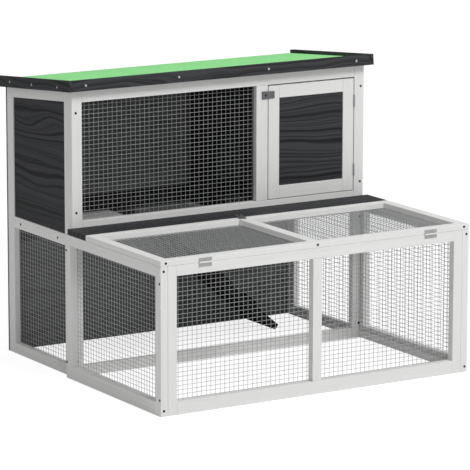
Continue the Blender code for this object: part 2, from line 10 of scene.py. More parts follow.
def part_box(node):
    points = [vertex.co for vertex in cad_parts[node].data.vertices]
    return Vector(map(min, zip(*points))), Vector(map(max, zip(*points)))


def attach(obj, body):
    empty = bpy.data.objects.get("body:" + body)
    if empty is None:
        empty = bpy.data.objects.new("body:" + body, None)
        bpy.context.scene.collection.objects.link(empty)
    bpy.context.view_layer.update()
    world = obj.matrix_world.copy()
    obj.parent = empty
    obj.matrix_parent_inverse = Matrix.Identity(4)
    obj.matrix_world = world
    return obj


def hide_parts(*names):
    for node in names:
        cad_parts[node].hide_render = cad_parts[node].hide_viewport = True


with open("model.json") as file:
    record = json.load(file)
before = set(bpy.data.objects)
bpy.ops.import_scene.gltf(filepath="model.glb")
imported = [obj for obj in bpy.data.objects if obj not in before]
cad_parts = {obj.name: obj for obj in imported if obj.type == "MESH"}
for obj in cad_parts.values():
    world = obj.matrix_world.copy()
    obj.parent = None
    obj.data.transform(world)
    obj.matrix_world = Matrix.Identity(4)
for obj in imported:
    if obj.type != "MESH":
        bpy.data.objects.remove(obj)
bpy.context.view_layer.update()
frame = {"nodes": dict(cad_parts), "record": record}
nodes = frame["nodes"]
bodyOf = {member: body for body, members in frame["record"]["behaviour"]["bodies"].items()
          for member in members}
print("frame loaded:", len(nodes), "nodes")


# shader node helpers
def addNode(tree, kind, values=None, **settings):
    made = tree.nodes.new(kind)
    for key, value in settings.items():
        setattr(made, key, value)
    for key, value in (values or {}).items():
        made.inputs[key].default_value = value
    return made


def mathNode(tree, operation, first, second):
    made = addNode(tree, "ShaderNodeMath", operation=operation)
    for slot, value in enumerate((first, second)):
        if isinstance(value, (int, float)):
            made.inputs[slot].default_value = value
        else:
            tree.links.new(value, made.inputs[slot])
    return made.outputs[0]


def scaled(tree, vector, factors):
    made = addNode(tree, "ShaderNodeVectorMath", operation="MULTIPLY")
    tree.links.new(vector, made.inputs[0])
    made.inputs[1].default_value = factors
    return made.outputs[0]


def fade(tree, value, low, high):
    # 1 at low, 0 at high
    made = addNode(tree, "ShaderNodeMapRange", interpolation_type="SMOOTHSTEP",
                   values={"From Min": low, "From Max": high, "To Min": 1.0, "To Max": 0.0})
    tree.links.new(value, made.inputs["Value"])
    return made.outputs["Result"]


def newGroup(name, inputs, outputs):
    group = bpy.data.node_groups.new(name, "ShaderNodeTree")
    for label, kind in inputs.items():
        group.interface.new_socket(name=label, in_out="INPUT", socket_type=kind)
    for label in outputs:
        group.interface.new_socket(name=label, in_out="OUTPUT", socket_type="NodeSocketFloat")
    return group, group.nodes.new("NodeGroupInput"), group.nodes.new("NodeGroupOutput")


grainPattern = {"knotCells": (1.9, 9.0, 9.0), "knotEdge": (0.06, 0.15), "bendReach": 0.55,
                "bendShare": 0.7, "driftScale": (2.6, 8.0, 8.0), "driftDetail": 2.0,
                "ringTilt": 0.6, "ringDetail": 5.0, "ringRoughness": 0.68,
                "fibreScale": (14.0, 620.0, 620.0), "fibreDetail": 3.0,
                "bandEdge": (0.38, 0.56), "bandHeight": -0.5, "fibreHeight": 0.5}


def makeWoodGrain():
    # Place is (along, across, through) the board in metres, shifted anew for each board
    group, given, result = newGroup(
        "woodGrain",
        {"Place": "NodeSocketVector", "Bands": "NodeSocketFloat", "Warp": "NodeSocketFloat"},
        ["Band", "Fibre", "Knot", "Height"])
    place = given.outputs["Place"]
    knotCells = addNode(group, "ShaderNodeTexVoronoi", values={"Scale": 1.0})
    group.links.new(scaled(group, place, grainPattern["knotCells"]), knotCells.inputs["Vector"])
    distance = knotCells.outputs["Distance"]
    knot = fade(group, distance, *grainPattern["knotEdge"])
    bend = mathNode(group, "MULTIPLY", fade(group, distance, 0.0, grainPattern["bendReach"]),
                    grainPattern["bendShare"])
    drift = addNode(group, "ShaderNodeTexNoise",
                    values={"Scale": 1.0, "Detail": grainPattern["driftDetail"]})
    group.links.new(scaled(group, place, grainPattern["driftScale"]), drift.inputs["Vector"])
    shift = mathNode(group, "MULTIPLY", mathNode(group, "ADD", bend, drift.outputs[0]),
                     given.outputs["Warp"])
    split = addNode(group, "ShaderNodeSeparateXYZ")
    group.links.new(place, split.inputs[0])
    depth = mathNode(group, "MULTIPLY", split.outputs["Z"], grainPattern["ringTilt"])
    ring = mathNode(group, "ADD", mathNode(group, "ADD", split.outputs["Y"], depth), shift)
    bands = addNode(group, "ShaderNodeTexNoise", noise_dimensions="1D",
                    values={"Scale": 1.0, "Detail": grainPattern["ringDetail"],
                            "Roughness": grainPattern["ringRoughness"]})
    group.links.new(mathNode(group, "MULTIPLY", ring, given.outputs["Bands"]), bands.inputs["W"])
    fibre = addNode(group, "ShaderNodeTexNoise",
                    values={"Scale": 1.0, "Detail": grainPattern["fibreDetail"]})
    group.links.new(scaled(group, place, grainPattern["fibreScale"]), fibre.inputs["Vector"])
    band = fade(group, bands.outputs[0], *grainPattern["bandEdge"])
    height = mathNode(group, "ADD",
                      mathNode(group, "MULTIPLY", band, grainPattern["bandHeight"]),
                      mathNode(group, "MULTIPLY", fibre.outputs[0], grainPattern["fibreHeight"]))
    group.links.new(band, result.inputs["Band"])
    group.links.new(fibre.outputs[0], result.inputs["Fibre"])
    group.links.new(knot, result.inputs["Knot"])
    group.links.new(mathNode(group, "SUBTRACT", height, knot), result.inputs["Height"])
    return group


wearPattern = {"blotchDetail": 3.0, "blotchRoughness": 0.55, "speckDetail": 2.0,
               "specksPerBlotch": 70.0}


def makeSurfaceWear():
    # slow blotches and fine specks, for dust and handling
    group, given, result = newGroup(
        "surfaceWear", {"Place": "NodeSocketVector", "Size": "NodeSocketFloat"},
        ["Blotch", "Speck"])
    blotch = addNode(group, "ShaderNodeTexNoise", values={
        "Detail": wearPattern["blotchDetail"], "Roughness": wearPattern["blotchRoughness"]})
    group.links.new(given.outputs["Place"], blotch.inputs["Vector"])
    group.links.new(given.outputs["Size"], blotch.inputs["Scale"])
    speck = addNode(group, "ShaderNodeTexNoise", values={"Detail": wearPattern["speckDetail"]})
    group.links.new(given.outputs["Place"], speck.inputs["Vector"])
    speckSize = mathNode(group, "MULTIPLY", given.outputs["Size"],
                         wearPattern["specksPerBlotch"])
    group.links.new(speckSize, speck.inputs["Scale"])
    group.links.new(blotch.outputs[0], result.inputs["Blotch"])
    group.links.new(speck.outputs[0], result.inputs["Speck"])
    return group


woodGrain = makeWoodGrain()
surfaceWear = makeSurfaceWear()


def startMaterial(name, rest):
    material = bpy.data.materials.new(name)
    material.use_nodes = True
    tree = material.node_tree
    shader = tree.nodes["Principled BSDF"]
    for key, value in rest.items():
        shader.inputs[key].default_value = value
    return material, tree, shader


def useGroup(tree, group, place, **values):
    made = addNode(tree, "ShaderNodeGroup", node_tree=group)
    tree.links.new(place, made.inputs["Place"])
    for key, value in values.items():
        made.inputs[key].default_value = value
    return made


def blendColours(tree, factor, first, second, amount=1.0):
    made = addNode(tree, "ShaderNodeMix", data_type="RGBA")
    tree.links.new(mathNode(tree, "MULTIPLY", factor, amount), made.inputs[0])
    for socket, colour in ((made.inputs[6], first), (made.inputs[7], second)):
        if isinstance(colour, tuple):
            socket.default_value = (*colour, 1.0)
        else:
            tree.links.new(colour, socket)
    return made.outputs[2]


def roughnessFrom(tree, shader, value, low, high):
    spread = addNode(tree, "ShaderNodeMapRange", values={"To Min": low, "To Max": high})
    tree.links.new(value, spread.inputs["Value"])
    tree.links.new(spread.outputs["Result"], shader.inputs["Roughness"])


def bumpFrom(tree, shader, height, strength, distance):
    bump = addNode(tree, "ShaderNodeBump", values={"Strength": strength, "Distance": distance})
    tree.links.new(height, bump.inputs["Height"])
    tree.links.new(bump.outputs["Normal"], shader.inputs["Normal"])


reliefDepth = {"wood": 0.0006, "metal": 0.0002, "felt": 0.0006}


def makeWood(name, finish):
    material, tree, shader = startMaterial(name, {"Specular IOR Level": finish["gloss"]})
    grain = addNode(tree, "ShaderNodeAttribute", attribute_name="grain")
    wood = useGroup(tree, woodGrain, grain.outputs["Vector"], Bands=finish["bands"],
                    Warp=finish["warp"])
    wear = useGroup(tree, surfaceWear, grain.outputs["Vector"], Size=finish["blotchSize"])
    colour = blendColours(tree, wood.outputs["Band"], finish["light"], finish["dark"],
                          finish["bandShare"])
    colour = blendColours(tree, wood.outputs["Fibre"], colour, finish["fibre"],
                          finish["fibreShare"])
    colour = blendColours(tree, wear.outputs["Blotch"], colour, finish["blotch"],
                          finish["blotchShare"])
    colour = blendColours(tree, wood.outputs["Knot"], colour, finish["knot"],
                          finish["knotShare"])
    tree.links.new(colour, shader.inputs["Base Color"])
    roughnessFrom(tree, shader, wood.outputs["Fibre"], *finish["roughness"])
    bumpFrom(tree, shader, wood.outputs["Height"], finish["relief"], reliefDepth["wood"])
    return material


whiteFinish = {"light": (0.80, 0.80, 0.79), "dark": (0.66, 0.66, 0.65), "bandShare": 0.30,
               "fibre": (0.70, 0.70, 0.69), "fibreShare": 0.35, "blotch": (0.74, 0.74, 0.73),
               "blotchShare": 0.4, "knot": (0.56, 0.55, 0.53), "knotShare": 0.35,
               "bands": 150.0, "warp": 0.02, "blotchSize": 9.0, "roughness": (0.5, 0.72),
               "relief": 0.30, "gloss": 0.35}
anthraciteFinish = {"light": (0.062, 0.064, 0.068), "dark": (0.010, 0.010, 0.011),
                    "bandShare": 0.94, "fibre": (0.018, 0.019, 0.020), "fibreShare": 0.38,
                    "blotch": (0.024, 0.025, 0.027), "blotchShare": 0.3,
                    "knot": (0.008, 0.008, 0.009), "knotShare": 0.9, "bands": 120.0,
                    "warp": 0.045, "blotchSize": 7.0, "roughness": (0.55, 0.75),
                    "relief": 0.45, "gloss": 0.14}
# a lighter copy of the anthracite finish: painted light on the rear wall, which shows bright through the
# mesh
litWallFinish = dict(anthraciteFinish, light=(0.170, 0.172, 0.175), dark=(0.100, 0.102, 0.104),
                  fibre=(0.130, 0.132, 0.134), blotch=(0.140, 0.142, 0.144), knotShare=0.55)
# a near-black copy of the anthracite finish: painted shade for the unlit ramp, divider and rear wall
# foot batten
paintedShadeFinish = dict(anthraciteFinish, light=(0.012, 0.012, 0.013), dark=(0.005, 0.005, 0.005),
                  fibre=(0.008, 0.008, 0.009), blotch=(0.009, 0.009, 0.010))
whitewashedWood = makeWood("whitewashedWood", whiteFinish)
anthraciteWood = makeWood("anthraciteWood", anthraciteFinish)
litRearWallWood = makeWood("litRearWallWood", litWallFinish)
paintedShadeWood = makeWood("paintedShadeWood", paintedShadeFinish)


def makeMetal(name, finish):
    material, tree, shader = startMaterial(name, {"Metallic": finish["metallic"]})
    place = addNode(tree, "ShaderNodeTexCoord").outputs["Object"]
    wear = useGroup(tree, surfaceWear, place, Size=finish["blotchSize"])
    colour = blendColours(tree, wear.outputs["Blotch"], finish["light"], finish["dark"])
    tree.links.new(colour, shader.inputs["Base Color"])
    roughnessFrom(tree, shader, wear.outputs["Speck"], *finish["roughness"])
    bumpFrom(tree, shader, wear.outputs["Speck"], finish["relief"], reliefDepth["metal"])
    return material


metalFinishes = {
    "galvanisedWire": {"light": (0.45, 0.46, 0.46), "dark": (0.32, 0.33, 0.33),
                       "metallic": 0.35, "blotchSize": 40.0, "roughness": (0.38, 0.60),
                       "relief": 0.15},
    "galvanisedPlate": {"light": (0.46, 0.47, 0.47), "dark": (0.34, 0.35, 0.35),
                        "metallic": 0.55, "blotchSize": 90.0, "roughness": (0.32, 0.52),
                        "relief": 0.20},
    # a painted highlight for the lid hinges' barrel
    "paintedHighlightBarrel": {"light": (0.82, 0.82, 0.81), "dark": (0.70, 0.70, 0.69),
                     "metallic": 0.2, "blotchSize": 200.0, "roughness": (0.30, 0.45),
                     "relief": 0.15},
    "dullButton": {"light": (0.20, 0.20, 0.21), "dark": (0.13, 0.13, 0.14),
                   "metallic": 0.55, "blotchSize": 110.0, "roughness": (0.38, 0.58),
                   "relief": 0.25},
    "blackScrew": {"light": (0.030, 0.030, 0.031), "dark": (0.014, 0.014, 0.015),
                   "metallic": 0.4, "blotchSize": 200.0, "roughness": (0.35, 0.55),
                   "relief": 0.15},
    "zincScrew": {"light": (0.62, 0.62, 0.61), "dark": (0.45, 0.45, 0.44),
                  "metallic": 0.6, "blotchSize": 200.0, "roughness": (0.28, 0.45),
                  "relief": 0.15},
}
metals = {name: makeMetal(name, finish) for name, finish in metalFinishes.items()}

feltFinish = {"light": (0.32, 0.84, 0.32), "dark": (0.17, 0.60, 0.18),
              "granule": (0.52, 0.92, 0.50), "blotchSize": 16.0, "blotchShare": 0.7,
              "gritEdge": (0.62, 0.45), "gritShare": 0.35, "roughness": (0.82, 0.98),
              "relief": 0.6, "gloss": 0.2}


def makeFelt():
    material, tree, shader = startMaterial("mineralFelt",
                                           {"Specular IOR Level": feltFinish["gloss"]})
    place = addNode(tree, "ShaderNodeTexCoord").outputs["Object"]
    wear = useGroup(tree, surfaceWear, place, Size=feltFinish["blotchSize"])
    colour = blendColours(tree, wear.outputs["Blotch"], feltFinish["light"], feltFinish["dark"],
                          feltFinish["blotchShare"])
    grit = fade(tree, wear.outputs["Speck"], *feltFinish["gritEdge"])
    colour = blendColours(tree, grit, colour, feltFinish["granule"], feltFinish["gritShare"])
    tree.links.new(colour, shader.inputs["Base Color"])
    roughnessFrom(tree, shader, wear.outputs["Speck"], *feltFinish["roughness"])
    bumpFrom(tree, shader, wear.outputs["Speck"], feltFinish["relief"], reliefDepth["felt"])
    return material


mineralFelt = makeFelt()


# mesh helpers
def finishPiece(name, shape, material, body, replaced, smoothAngle=None):
    bmesh.ops.recalc_face_normals(shape, faces=shape.faces)
    mesh = bpy.data.meshes.new(name)
    shape.to_mesh(mesh)
    shape.free()
    stored = mesh.attributes.get("custom_normal")  # left over from the loaded frame
    if stored:
        mesh.attributes.remove(stored)
    mesh.materials.clear()
    mesh.materials.append(material)
    mesh.polygons.foreach_set("material_index", [0] * len(mesh.polygons))
    mesh.polygons.foreach_set("use_smooth", [smoothAngle is not None] * len(mesh.polygons))
    if smoothAngle is not None:
        mesh.set_sharp_from_angle(angle=math.radians(smoothAngle))
    piece = bpy.data.objects.new(name, mesh)
    bpy.context.scene.collection.objects.link(piece)
    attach(piece, body)
    if replaced:
        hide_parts(*replaced)
    return piece


grainShift = 9.0  # how far each board's grain may be shifted from the next one's


def layGrain(verts, layer, along, seed, turn=None):
    draw = random.Random(seed)
    shift = Vector([draw.uniform(0, grainShift) for axis in range(3)])
    across, through = [axis for axis in (0, 1, 2) if axis != along]
    for vert in verts:
        point = turn @ vert.co if turn else vert.co
        vert[layer] = Vector((point[along], point[across], point[through])) + shift


roundEdge = {"segments": 2, "profile": 0.5}


def bevelSharp(shape, edges, width):
    bmesh.ops.bevel(shape, geom=edges, offset=width, offset_type="OFFSET", affect="EDGES",
                    segments=roundEdge["segments"], profile=roundEdge["profile"], material=-1,
                    clamp_overlap=True)


def sharpEdges(edges, angle=30):
    limit = math.radians(angle)
    return [edge for edge in edges
            if len(edge.link_faces) == 2 and edge.calc_face_angle(0.0) > limit]


def addBox(shape, low, high):
    made = bmesh.ops.create_cube(shape, size=1.0)["verts"]
    low, high = Vector(low), Vector(high)
    bmesh.ops.scale(shape, vec=high - low, verts=made)
    bmesh.ops.translate(shape, vec=(low + high) / 2, verts=made)
    return made


def addPlank(shape, layer, low, high, along, seed, edge):
    before = set(shape.verts)
    made = addBox(shape, low, high)
    bevelSharp(shape, list({e for vert in made for e in vert.link_edges}), edge)
    layGrain([vert for vert in shape.verts if vert not in before], layer, along, seed)


def addBar(shape, start, end, radius, sides):
    start, end = Vector(start), Vector(end)
    turn = (end - start).to_track_quat("Z", "Y").to_matrix().to_4x4()
    bmesh.ops.create_cone(shape, cap_ends=True, segments=sides, radius1=radius, radius2=radius,
                          depth=(end - start).length,
                          matrix=Matrix.Translation((start + end) / 2) @ turn)


# single boards: each CAD board with its edges eased
boardAxis = {"front_left_post": 2, "front_right_post": 2, "front_top_rail": 0,
             "front_sill_rail": 0, "front_bottom_rail": 0, "front_centre_stile": 2,
             "floor_board": 0, "rear_wall": 0, "divider": 1, "ramp_landing": 0, "ramp_board": 0,
             "roof_board": 0, "fascia_front": 0, "fascia_left": 1, "fascia_right": 1,
             "door_board": 0, "shelf_board": 0}
for side in ("left", "right"):
    boardAxis.update({f"side_{side}_front_stile": 2, f"side_{side}_rear_stile": 2,
                      f"side_{side}_top_rail": 1, f"side_{side}_mid_rail": 1,
                      f"side_{side}_bottom_rail": 1, f"side_{side}_board": 1})
boardEase = {"timber": 0.0009, "board": 0.0006, "felt": 0.0005}
boardTurn = {"ramp_board": 40.3}  # slope in degrees
rearWall = {"thickness": 0.0065, "margin": 0.0004}
mergeLimits = {"distance": 0.00001, "flatAngle": 1}
whiteNodes = {name for name in boardAxis
              if name.startswith("front_") or name.endswith(("stile", "rail"))}
whiteNodes.add("floor_board")
# the ramp and the divider take the near-black painted-shade finish, the rear wall the lighter
# painted-light one
darkWoods = {"rear_wall": litRearWallWood, "ramp_board": paintedShadeWood, "divider": paintedShadeWood}


def mergedCopy(name):
    shape = bmesh.new()
    shape.from_mesh(nodes[name].data)
    bmesh.ops.remove_doubles(shape, verts=shape.verts, dist=mergeLimits["distance"])
    bmesh.ops.dissolve_limit(shape, angle_limit=math.radians(mergeLimits["flatAngle"]),
                             verts=shape.verts, edges=shape.edges)
    return shape


for seed, (name, along) in enumerate(sorted(boardAxis.items())):
    shape = mergedCopy(name)
    white = name in whiteNodes
    bevelSharp(shape, sharpEdges(shape.edges), boardEase["timber" if white else "board"])
    layer = shape.verts.layers.float_vector.new("grain")
    turn = None
    if name in boardTurn:
        turn = Matrix.Rotation(math.radians(-boardTurn[name]), 3, "Y")
    layGrain(shape.verts, layer, along, seed, turn)
    wood = whitewashedWood if white else darkWoods.get(name, anthraciteWood)
    piece = finishPiece(f"{name}_piece", shape, wood, bodyOf[name], [name])
    if name == "rear_wall":  # its foot batten takes the near-black finish, painted shade
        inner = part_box(name)[1].y - rearWall["thickness"] - rearWall["margin"]
        piece.data.materials.append(paintedShadeWood)
        for polygon in piece.data.polygons:
            polygon.material_index = 1 if polygon.center.y < inner else 0
print("boards eased:", len(boardAxis))

feltShape = mergedCopy("roof_felt")
bevelSharp(feltShape, sharpEdges(feltShape.edges), boardEase["felt"])
finishPiece("roof_felt_piece", feltShape, mineralFelt, bodyOf["roof_felt"], ["roof_felt"])

# frames made of rails and stiles with butt joints
jointGap = 0.00010  # between a board's end and the board it meets
frameEase = 0.0009


def buildFrame(name, planks, seed):
    shape = bmesh.new()
    layer = shape.verts.layers.float_vector.new("grain")
    for step, (low, high, along) in enumerate(planks):
        low, high = Vector(low), Vector(high)
        low[along] += jointGap
        high[along] -= jointGap
        addPlank(shape, layer, low, high, along, seed + step, frameEase)
    finishPiece(f"{name}_piece", shape, whitewashedWood, bodyOf[name], [name])


runFront = {"stile": 0.026, "topRail": 0.0272, "bottomRail": 0.0342, "centreFrom": 0.4334,
            "centreWidth": 0.027, "grainSeed": 100}
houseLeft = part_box("front_left_post")[0].x
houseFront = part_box("front_left_post")[0].y
low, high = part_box("run_front_frame")
railLow, railHigh = low.x + runFront["stile"], high.x - runFront["stile"]
bottomTop, topBottom = runFront["bottomRail"], high.z - runFront["topRail"]
centre = houseLeft + runFront["centreFrom"]
buildFrame("run_front_frame", [
    (low, (railLow, high.y, high.z), 2),
    ((railHigh, low.y, low.z), high, 2),
    ((railLow, low.y, low.z), (railHigh, high.y, bottomTop), 0),
    ((railLow, low.y, topBottom), (railHigh, high.y, high.z), 0),
    ((centre, low.y, bottomTop), (centre + runFront["centreWidth"], high.y, topBottom), 2),
], runFront["grainSeed"])

lidRails = {"side": 0.029, "cross": 0.026, "bar": 0.030, "barFrom": 0.432,
            "grainSeed": 120}
low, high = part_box("lid_frame")
frontBack, rearFront = low.y + lidRails["cross"], high.y - lidRails["cross"]
bar = houseLeft + lidRails["barFrom"]
buildFrame("lid_frame", [
    (low, (high.x, frontBack, high.z), 0),
    ((low.x, rearFront, low.z), high, 0),
    ((low.x, frontBack, low.z), (low.x + lidRails["side"], rearFront, high.z), 1),
    ((high.x - lidRails["side"], frontBack, low.z), (high.x, rearFront, high.z), 1),
    ((bar, frontBack, low.z), (bar + lidRails["bar"], rearFront, high.z), 1),
], lidRails["grainSeed"])

doorRails = {"stile": 0.034, "grainSeed": 140}
low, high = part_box("door_frame")
inLow, inHigh = low.x + doorRails["stile"], high.x - doorRails["stile"]
buildFrame("door_frame", [
    (low, (inLow, high.y, high.z), 2),
    ((inHigh, low.y, low.z), high, 2),
    ((inLow, low.y, low.z), (inHigh, high.y, low.z + doorRails["stile"]), 0),
    ((inLow, low.y, high.z - doorRails["stile"]), (inHigh, high.y, high.z), 0),
], doorRails["grainSeed"])

runSide = {"frontStile": 0.026, "rearStile": 0.0143, "topRail": 0.0272, "bottomRail": 0.0342,
           "overhang": 0.0149, "gap": 0.0003, "facing": 0.9,
           "grainSeed": {"left": 160, "right": 180}}


def buildRunSide(side, outward):
    name = f"run_{side}_frame"
    seed = runSide["grainSeed"][side]
    low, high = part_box(name)
    shape = bmesh.new()
    layer = shape.verts.layers.float_vector.new("grain")
    stileBack = low.y + runSide["frontStile"]
    rearFront = houseFront - runSide["rearStile"]
    topBottom = high.z - runSide["topRail"]
    addPlank(shape, layer, low, (high.x, stileBack, high.z), 2, seed, frameEase)
    addPlank(shape, layer, (low.x, stileBack + jointGap, low.z),
             (high.x, rearFront - jointGap, runSide["bottomRail"]), 1, seed + 1, frameEase)
    addPlank(shape, layer, (low.x, stileBack + jointGap, topBottom),
             (high.x, rearFront - jointGap, high.z), 1, seed + 2, frameEase)
    # rear stile, rebated over the house side
    before = set(shape.verts)
    outer = low.x if outward < 0 else high.x
    houseFace = outer - outward * runSide["overhang"]
    inner = high.x if outward < 0 else low.x
    made = addBox(shape, (min(outer, houseFace), rearFront, low.z),
                  (max(outer, houseFace), high.y, high.z))
    geometry = list({item for vert in made for item in (vert, *vert.link_edges, *vert.link_faces)})
    bmesh.ops.bisect_plane(shape, geom=geometry, plane_co=(0, houseFront - runSide["gap"], 0),
                           plane_no=(0, 1, 0))
    inward = [face for face in shape.faces if not any(v in before for v in face.verts)
              and face.normal.x * outward < -runSide["facing"]
              and face.calc_center_median().y < houseFront - runSide["gap"]]
    pushed = bmesh.ops.extrude_face_region(shape, geom=inward)
    moved = [item for item in pushed["geom"] if isinstance(item, bmesh.types.BMVert)]
    bmesh.ops.translate(shape, vec=(inner - houseFace, 0, 0), verts=moved)
    bmesh.ops.delete(shape, geom=inward, context="FACES_ONLY")
    mine = [vert for vert in shape.verts if vert not in before]
    bevelSharp(shape, sharpEdges({e for vert in mine for e in vert.link_edges}), frameEase)
    layGrain([vert for vert in shape.verts if vert not in before], layer, 2, seed + 3)
    finishPiece(f"{name}_piece", shape, whitewashedWood, bodyOf[name], [name])


buildRunSide("left", -1)
buildRunSide("right", 1)
print("rails and stiles built")

# welded mesh
wireMesh = {"pitchAcross": 0.0137, "pitchUp": 0.0116, "radius": 0.00060, "cross": 0.00020,
            "bend": 0.00025, "sides": 6, "stapleEvery": 0.095, "stapleLength": 0.0085,
            "stapleThick": 0.0008, "stapleInset": 0.0060, "stapleSides": 8, "smoothAngle": 70}
meshPanels = {  # thin axis, direction of the inner side
    "window_mesh": (1, 1), "run_front_mesh": (1, 1), "run_left_mesh": (0, 1),
    "run_right_mesh": (0, -1), "side_left_lower_mesh": (0, 1), "side_right_lower_mesh": (0, -1),
    "lid_mesh": (2, -1)}


def buildMesh(name, thin, inside, seed):
    draw = random.Random(seed)
    low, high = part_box(name)
    first, second = [axis for axis in (0, 1, 2) if axis != thin]
    middle = (low[thin] + high[thin]) / 2
    shape = bmesh.new()
    for cross, pitch, lift in ((first, wireMesh["pitchAcross"], -1),
                               (second, wireMesh["pitchUp"], 1)):
        margin = wireMesh["radius"]
        count = round((high[cross] - low[cross] - 2 * margin) / pitch)
        step = (high[cross] - low[cross] - 2 * margin) / count
        for place in range(count + 1):
            wobble = draw.uniform(-1, 1) * wireMesh["bend"] if 0 < place < count else 0
            start, end = Vector(low), Vector(high)
            for point, sway in ((start, wobble), (end, -wobble)):
                point[thin] = middle + lift * inside * wireMesh["cross"]
                point[cross] = low[cross] + margin + place * step + sway
            addBar(shape, start, end, wireMesh["radius"], wireMesh["sides"])
    # staples along the edges, on the inner side
    level = middle + inside * (wireMesh["cross"] + wireMesh["radius"])
    half = wireMesh["stapleLength"] / 2
    for run, cross in ((first, second), (second, first)):
        count = max(1, int((high[run] - low[run]) / wireMesh["stapleEvery"]))
        for edge in (low[cross] + wireMesh["stapleInset"], high[cross] - wireMesh["stapleInset"]):
            for place in range(count):
                middlePoint = low[run] + (place + 0.5) * (high[run] - low[run]) / count
                point = Vector((0, 0, 0))
                point[thin], point[run], point[cross] = level, middlePoint, edge
                reach = Vector((0, 0, 0))
                reach[run] = half
                addBar(shape, point - reach, point + reach, wireMesh["stapleThick"] / 2,
                       wireMesh["stapleSides"])
    finishPiece(f"{name}_piece", shape, metals["galvanisedWire"], bodyOf[name], [name],
                wireMesh["smoothAngle"])


for seed, (name, (thin, inside)) in enumerate(sorted(meshPanels.items())):
    buildMesh(name, thin, inside, seed)
print("mesh panels built:", len(meshPanels))

# screws
screwHead = {"radius": 0.0033, "height": 0.0010, "slotLength": 0.0038, "slotWidth": 0.0009,
             "slotDepth": 0.0007, "sides": 20, "sunk": 0.0002, "rimHeight": 0.0003,
             "shoulder": (0.86, 0.75), "crown": 0.5, "cutterTop": 0.003,
             "mergeDistance": 0.000005, "smoothAngle": 40}


def makeHeadMesh():
    # a low domed head on the z axis with a cross recess
    shape = bmesh.new()
    radius, height, foot = screwHead["radius"], screwHead["height"], -screwHead["sunk"]
    shoulderOut, shoulderUp = screwHead["shoulder"]
    outline = [(0, foot), (radius, foot), (radius, screwHead["rimHeight"]),
               (radius * shoulderOut, height * shoulderUp), (radius * screwHead["crown"], height),
               (0, height)]
    verts = [shape.verts.new((x, 0, z)) for x, z in outline]
    edges = [shape.edges.new(pair) for pair in zip(verts, verts[1:])]
    bmesh.ops.spin(shape, geom=verts + edges, axis=(0, 0, 1), cent=(0, 0, 0), dvec=(0, 0, 0),
                   angle=math.tau, steps=screwHead["sides"], use_merge=True)
    bmesh.ops.remove_doubles(shape, verts=shape.verts, dist=screwHead["mergeDistance"])
    bmesh.ops.recalc_face_normals(shape, faces=shape.faces)
    mesh = bpy.data.meshes.new("head")
    shape.to_mesh(mesh)
    shape.free()
    head = bpy.data.objects.new("head", mesh)
    bpy.context.scene.collection.objects.link(head)
    cutters = []
    for length, width in ((screwHead["slotLength"], screwHead["slotWidth"]),
                          (screwHead["slotWidth"], screwHead["slotLength"])):
        shape = bmesh.new()
        addBox(shape, (-length / 2, -width / 2, height - screwHead["slotDepth"]),
               (length / 2, width / 2, screwHead["cutterTop"]))
        mesh = bpy.data.meshes.new("slotCutter")
        shape.to_mesh(mesh)
        shape.free()
        cutter = bpy.data.objects.new("slotCutter", mesh)
        bpy.context.scene.collection.objects.link(cutter)
        cut = head.modifiers.new("cut", "BOOLEAN")
        cut.operation, cut.solver, cut.object = "DIFFERENCE", "EXACT", cutter
        cutters.append(cutter)
    depsgraph = bpy.context.evaluated_depsgraph_get()
    depsgraph.update()
    made = bpy.data.meshes.new_from_object(head.evaluated_get(depsgraph))
    for used in (head, *cutters):
        bpy.data.objects.remove(used)
    return made


headMesh = makeHeadMesh()


def addScrews(name, body, places, finish="blackScrew", size=1.0, replaced=()):
    shape = bmesh.new()
    draw = random.Random(name)
    for point, outward in places:
        before = set(shape.verts)
        shape.from_mesh(headMesh)
        fresh = [vert for vert in shape.verts if vert not in before]
        turn = Vector(outward).to_track_quat("Z", "Y").to_matrix().to_4x4()
        spinBy = Matrix.Rotation(draw.uniform(0, math.pi), 4, "Z")
        place = Matrix.Translation(point) @ turn @ spinBy @ Matrix.Scale(size, 4)
        bmesh.ops.transform(shape, verts=fresh, matrix=place)
    finishPiece(name, shape, metals[finish], body, replaced, screwHead["smoothAngle"])


screwPlaces = {"postHeights": (0.696, 0.435, 0.338, 0.041), "leftPostInset": 0.012,
               "rightPostInset": 0.010, "midRailBack": (0.080, 0.284), "midRailZ": 0.358,
               "runStileIn": 0.0053, "runStileZ": (0.338, 0.0416), "lapBack": 0.0069,
               "lapZ": (0.339, 0.0426), "edgeIn": (0.0092, 0.0078), "edgeZ": (0.369, 0.0145),
               "lidX": (0.0, 0.4465, 0.8995), "lidZ": 0.389}
leftPost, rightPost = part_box("front_left_post"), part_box("front_right_post")
forward, back, leftward, rightward = (0, -1, 0), (0, 1, 0), (-1, 0, 0), (1, 0, 0)
places = []
for z in screwPlaces["postHeights"]:
    places.append(((leftPost[0].x + screwPlaces["leftPostInset"], houseFront, z), forward))
    places.append(((rightPost[1].x - screwPlaces["rightPostInset"], houseFront, z), forward))
for y in screwPlaces["midRailBack"]:
    for x, outward in ((leftPost[0].x, leftward), (rightPost[1].x, rightward)):
        places.append(((x, houseFront + y, screwPlaces["midRailZ"]), outward))
runLeft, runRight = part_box("run_left_frame"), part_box("run_right_frame")
for x, outward in ((runLeft[0].x, leftward), (runRight[1].x, rightward)):
    places += [((x, runLeft[0].y + screwPlaces["runStileIn"], z), outward)
               for z in screwPlaces["runStileZ"]]
    places += [((x, houseFront + screwPlaces["lapBack"], z), outward)
               for z in screwPlaces["lapZ"]]
for z in screwPlaces["edgeZ"]:
    places.append(((runLeft[0].x + screwPlaces["edgeIn"][0], runLeft[0].y, z), forward))
    places.append(((runRight[1].x - screwPlaces["edgeIn"][1], runLeft[0].y, z), forward))
addScrews("frame_screws", "hutch", places)

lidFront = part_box("lid_frame")[0].y
addScrews("lid_screws", "lid", [((houseLeft + x, lidFront, screwPlaces["lidZ"]), forward)
                                for x in screwPlaces["lidX"]])

